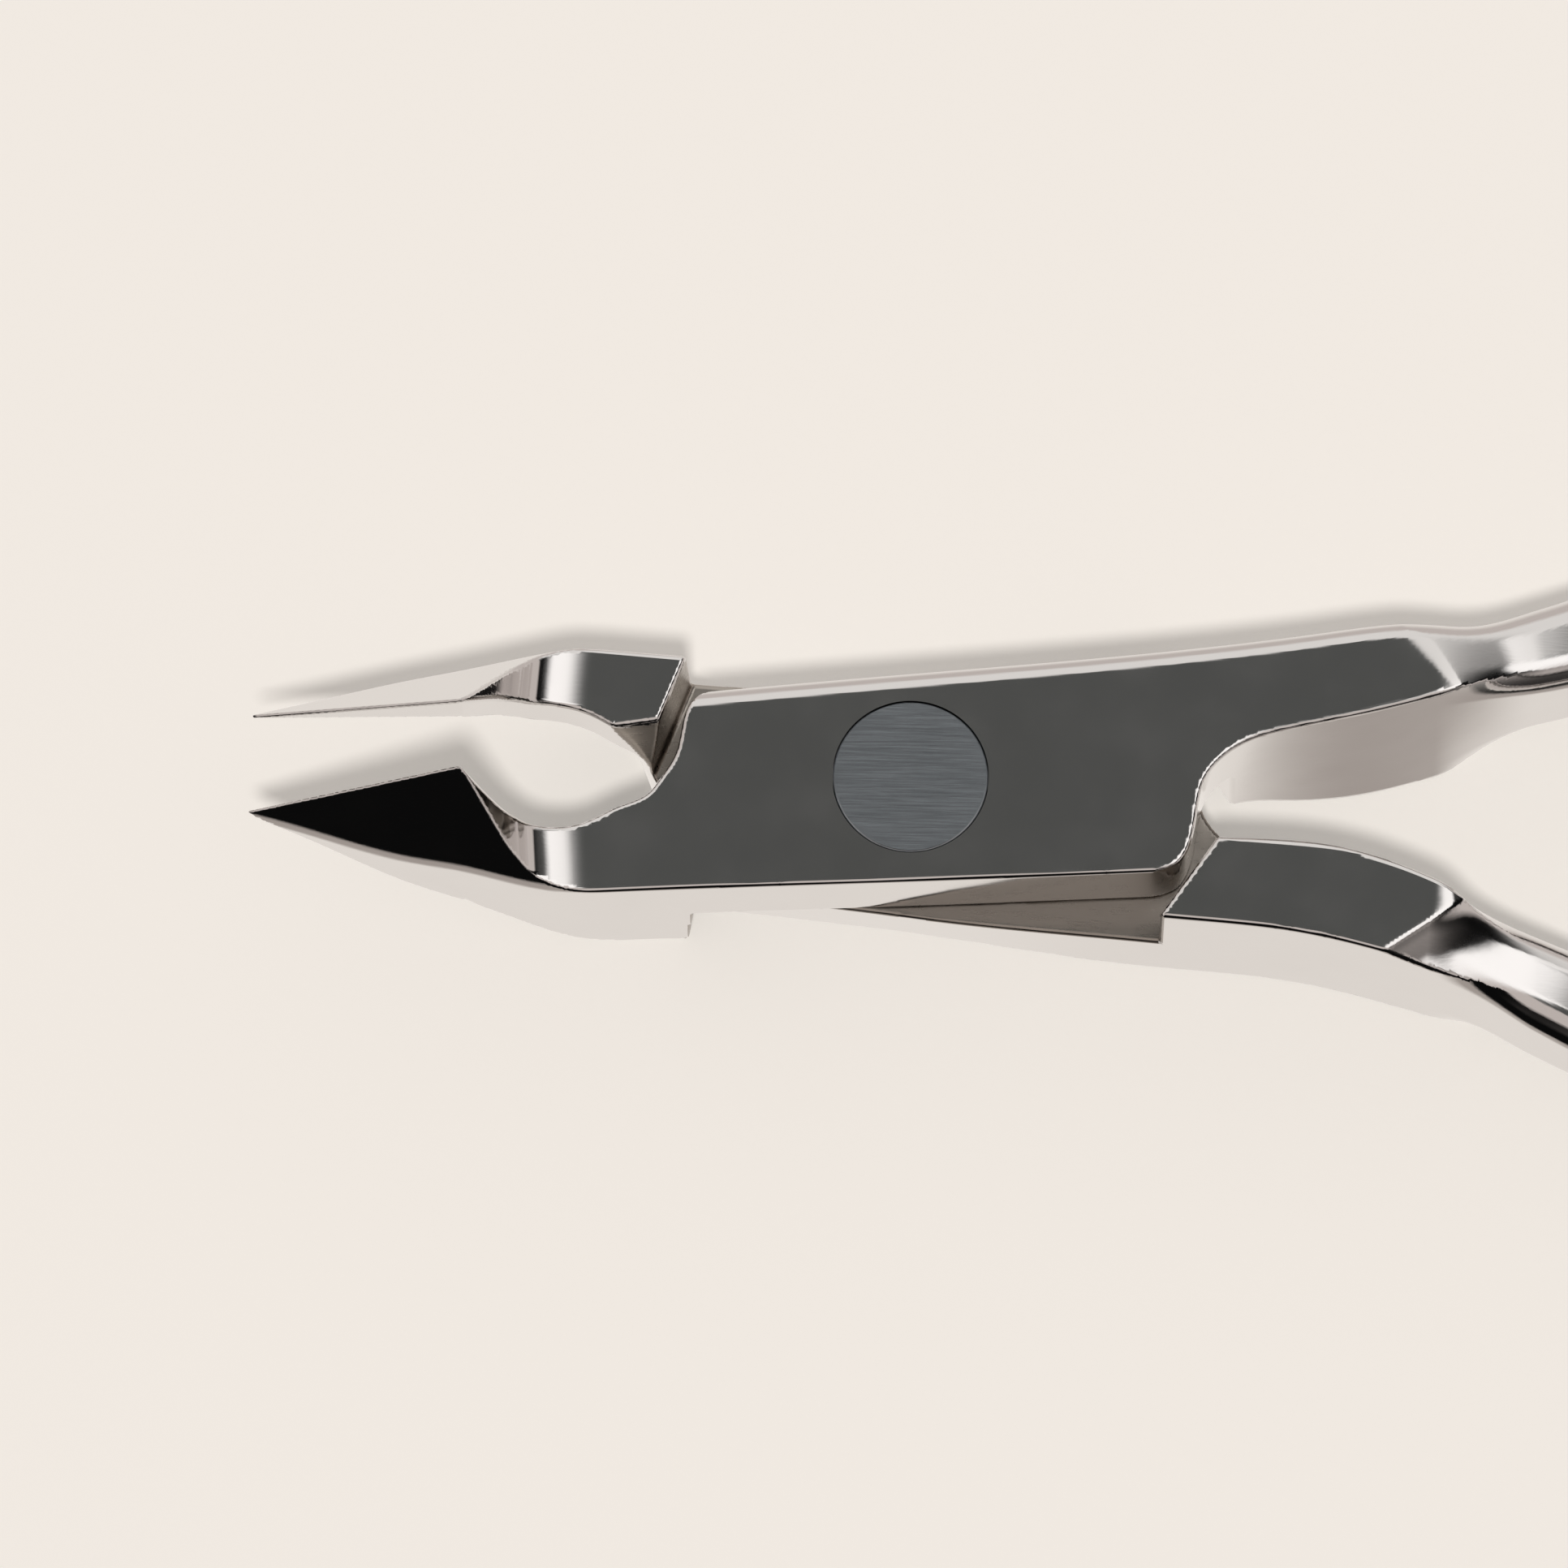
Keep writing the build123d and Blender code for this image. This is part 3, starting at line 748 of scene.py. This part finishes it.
def socket_leaf(x, y, z):
    """Leaf of the back lever, ending in a socket that clips round the bead, with its Y turned over."""
    dx, dy = x - meet[0], y - meet[1]
    far = np.hypot(dx, dy)
    inner = BEAD_RADIUS + SOCKET_GAP
    middle = math.radians(-(SOCKET_OPEN[0] + SOCKET_OPEN[1]) / 2)
    half = math.radians((SOCKET_OPEN[1] - SOCKET_OPEN[0]) / 2)
    ahead, aside = turned(dx, dy, middle)
    opening = ahead * math.sin(half) - np.abs(aside) * math.cos(half)
    joined = either(leaf(x, y), far - inner - SOCKET_WALL, 0.3)
    joined = both(both(joined, inner - far, 0.05), opening, 0.12)
    along, inward = seat(x, y)
    hole = leaf_hole(along, inward, z)
    body = both(joined, np.abs(z - LEAF_Z) - LEAF_WIDTH / 2, 0.12)
    return both(body, hole, 0.04)


def screw(x, y, z):
    """A slotted screw standing on its spring seat."""
    along, inward = seat(x, y)
    up = z - LEAF_Z
    far = np.hypot(along, up)
    high = inward - LEAF_THICK
    half_head = SCREW_HEAD_HEIGHT / 2
    head = both(far - SCREW_HEAD_RADIUS, np.abs(high - half_head) - half_head, 0.2)
    ahead, aside = turned(along, up, SLOT_TURN)
    slot = np.minimum(SLOT_WIDTH / 2 - np.abs(aside), high - SCREW_HEAD_HEIGHT + SLOT_DEPTH)
    head = both(head, slot, 0.05)
    shank = both(far - SCREW_RADIUS, np.abs(inward + 0.65) - 1.4, 0.1)
    return either(head, shank, 0.05)


def small_piece(name, field, low, high, spacing, angle, flip, finish):
    """A mesh from a field on an even grid."""
    grids = [np.arange(a, b + spacing, spacing) for a, b in zip(low, high)]
    verts, quads = surface(field, *grids)
    return piece(name, verts, flat_list(quads), corner_normals(field, verts, quads), angle, finish, flip)


# grids: (low corner, high corner, spacing)
SPRING_BOX = ((22.9, -4.1, 1.1), (50.2, 11.6, 4.6), 0.13)
SCREW_BOX = ((44.0, 6.4, 1.2), (49.0, 13.5, 4.5), 0.075)

for name, field, side, angle, flip in (("bead_leaf_spring", bead_leaf, "front", REST_OPEN, False),
                                       ("socket_leaf_spring", socket_leaf, "back", -REST_OPEN, True)):
    spring = small_piece(name, field, *SPRING_BOX, angle, flip, spring_steel)
    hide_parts(name)
    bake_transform(spring)

for name, side, angle, flip in (("front_spring_screw", "front", REST_OPEN, False),
                                ("back_spring_screw", "back", -REST_OPEN, True)):
    made = small_piece(name, screw, *SCREW_BOX, angle, flip, screw_steel)
    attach(made, side)
    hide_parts(name)


# ---- floor ---------------------------------------------------------------------------------------

FLOOR_HALF = 1.2


def paper_floor():
    """A large sheet of pale matt paper under the tool, lifted a little by a painted glow of its own."""
    size = FLOOR_HALF
    mesh = bpy.data.meshes.new("floor")
    corners = [(-size, -size, 0), (size, -size, 0), (size, size, 0), (-size, size, 0)]
    mesh.from_pydata(corners, [], [(0, 1, 2, 3)])
    floor = bpy.data.objects.new("floor", mesh)
    bpy.context.scene.collection.objects.link(floor)
    made = bpy.data.materials.new("floor_paper")
    made.use_nodes = True
    tree = made.node_tree
    shader = tree.nodes["Principled BSDF"]
    shader.inputs["Base Color"].default_value = (0.715, 0.695, 0.664, 1)
    shader.inputs["Roughness"].default_value = 0.9
    shader.inputs["Specular IOR Level"].default_value = 0.1
    # The emission paints an even glow on the paper that lightens its shade and the tool's shadow.
    shader.inputs["Emission Color"].default_value = (0.311, 0.299, 0.279, 1)
    shader.inputs["Emission Strength"].default_value = 1
    link(tree, bump(tree, noise(tree, 2.0, detail=3), 0.01 * MM, 0.3), shader.inputs["Normal"])
    mesh.materials.append(made)
    floor.visible_glossy = False


paper_floor()


# ---- light ---------------------------------------------------------------------------------------

def sky():
    """Studio surroundings by direction: a dark ceiling with a bright strip, soft boxes and pale walls."""
    world = bpy.data.worlds.new("studio")
    world.use_nodes = True
    bpy.context.scene.world = world
    tree = world.node_tree
    background = tree.nodes["Background"]
    place = tree.nodes.new("ShaderNodeTexCoord")
    split = tree.nodes.new("ShaderNodeSeparateXYZ")
    link(tree, place.outputs["Generated"], split.inputs["Vector"])

    def maths(operation, first, second=None):
        node = tree.nodes.new("ShaderNodeMath")
        node.operation = operation
        for socket, value in zip(node.inputs, (first, second)):
            if isinstance(value, (int, float)):
                socket.default_value = value
            elif value is not None:
                link(tree, value, socket)
        return node.outputs["Value"]

    x, y, z = (split.outputs[i] for i in range(3))
    tilt = maths("DIVIDE", maths("ARCCOSINE", z), math.pi)
    level = maths("ADD", maths("POWER", maths("ABSOLUTE", x), 4), maths("POWER", maths("ABSOLUTE", y), 4))
    level = maths("ADD", level, 1e-9)

    def share(value, sign):
        part = maths("MAXIMUM", maths("MULTIPLY", value, sign), 0)
        return maths("DIVIDE", maths("POWER", part, 4), level)

    def ramp(stops):
        node = tree.nodes.new("ShaderNodeValToRGB")
        elements = node.color_ramp.elements
        elements.remove(elements[1])
        for index, (degrees, colour) in enumerate(stops):
            spot = degrees / 180
            element = elements[0] if index == 0 else elements.new(spot)
            element.position = spot
            element.color = (*colour, 1)
        link(tree, tilt, node.inputs["Fac"])
        return node.outputs["Color"]

    ceiling = (0.09, 0.092, 0.089)
    white = (1.25, 1.22, 1.2)
    soft = (0.86, 0.835, 0.81)
    pale = (0.62, 0.56, 0.53)
    floor = (0.86, 0.81, 0.76)
    wall = (0.42, 0.375, 0.345)
    black = (0.004, 0.004, 0.004)
    east = ramp([(0, ceiling), (6, ceiling), (9, white), (34, white), (38, black), (58, black), (66, pale),
                 (100, pale), (120, floor), (180, floor)])
    north = ramp([(0, ceiling), (20, ceiling), (25, soft), (62, soft), (75, pale), (100, pale), (125, floor),
                  (180, floor)])
    west = ramp([(0, ceiling), (22, ceiling), (30, pale), (80, pale), (92, black), (124, black), (140, floor),
                 (180, floor)])
    south = ramp([(0, ceiling), (12, ceiling), (18, pale), (50, pale), (60, black), (124, black), (134, wall),
                  (148, wall), (164, floor), (180, floor)])
    total = None
    for colour, value, sign in ((east, x, 1), (north, y, 1), (west, x, -1), (south, y, -1)):
        node = tree.nodes.new("ShaderNodeVectorMath")
        node.operation = "SCALE"
        link(tree, colour, node.inputs[0])
        link(tree, share(value, sign), node.inputs["Scale"])
        if total is None:
            total = node.outputs["Vector"]
        else:
            add = tree.nodes.new("ShaderNodeVectorMath")
            add.operation = "ADD"
            link(tree, total, add.inputs[0])
            link(tree, node.outputs["Vector"], add.inputs[1])
            total = add.outputs["Vector"]
    rays = tree.nodes.new("ShaderNodeLightPath")
    fill = tree.nodes.new("ShaderNodeBackground")
    fill.inputs["Color"].default_value = (*pale, 1)
    fill.inputs["Strength"].default_value = 0.45
    either_one = tree.nodes.new("ShaderNodeMixShader")
    link(tree, total, background.inputs["Color"])
    link(tree, rays.outputs["Is Diffuse Ray"], either_one.inputs["Fac"])
    link(tree, background.outputs["Background"], either_one.inputs[1])
    link(tree, fill.outputs["Background"], either_one.inputs[2])
    link(tree, either_one.outputs["Shader"], tree.nodes["World Output"].inputs["Surface"])


def sun(name, direction, angle, strength, colour):
    """A distant light shining along a direction."""
    data = bpy.data.lights.new(name, "SUN")
    data.angle = angle
    data.energy = strength
    data.color = colour
    obj = bpy.data.objects.new(name, data)
    obj.rotation_euler = Vector(direction).to_track_quat("-Z", "Y").to_euler()
    obj.visible_glossy = False
    bpy.context.scene.collection.objects.link(obj)


KEY_TILT = math.radians(20.5)
KEY_SPREAD = math.radians(5)
KEY_STRENGTH = 1.69

sky()
sun("key_light", (0.0, math.sin(KEY_TILT), -math.cos(KEY_TILT)), KEY_SPREAD, KEY_STRENGTH, (1.0, 0.97, 0.94))


# ---- camera --------------------------------------------------------------------------------------

FRAME_WIDTH = 44.93
CAMERA_FAR = 700
CAMERA_TURN = math.radians(1.25)
CAMERA_TILT = math.radians(15)
AIM = (-3.62, -0.30, THICK)

right = Vector((math.cos(CAMERA_TURN), math.sin(CAMERA_TURN), 0))
away = Vector((-math.sin(CAMERA_TURN), math.cos(CAMERA_TURN), 0))
back = Vector((0, 0, 1)) * math.cos(CAMERA_TILT) - away * math.sin(CAMERA_TILT)
up = back.cross(right)
camera_data = bpy.data.cameras.new("camera")
camera_data.sensor_width = 36
camera_data.lens = 36 * CAMERA_FAR / FRAME_WIDTH
camera_data.clip_start = 0.05
camera_data.clip_end = 20
camera = bpy.data.objects.new("camera", camera_data)
camera.matrix_world = Matrix.Translation((Vector(AIM) + back * CAMERA_FAR) * MM) @ Matrix(
    (right, up, back)).transposed().to_4x4()
bpy.context.scene.collection.objects.link(camera)
bpy.context.scene.camera = camera
bpy.context.scene.view_settings.view_transform = "Standard"
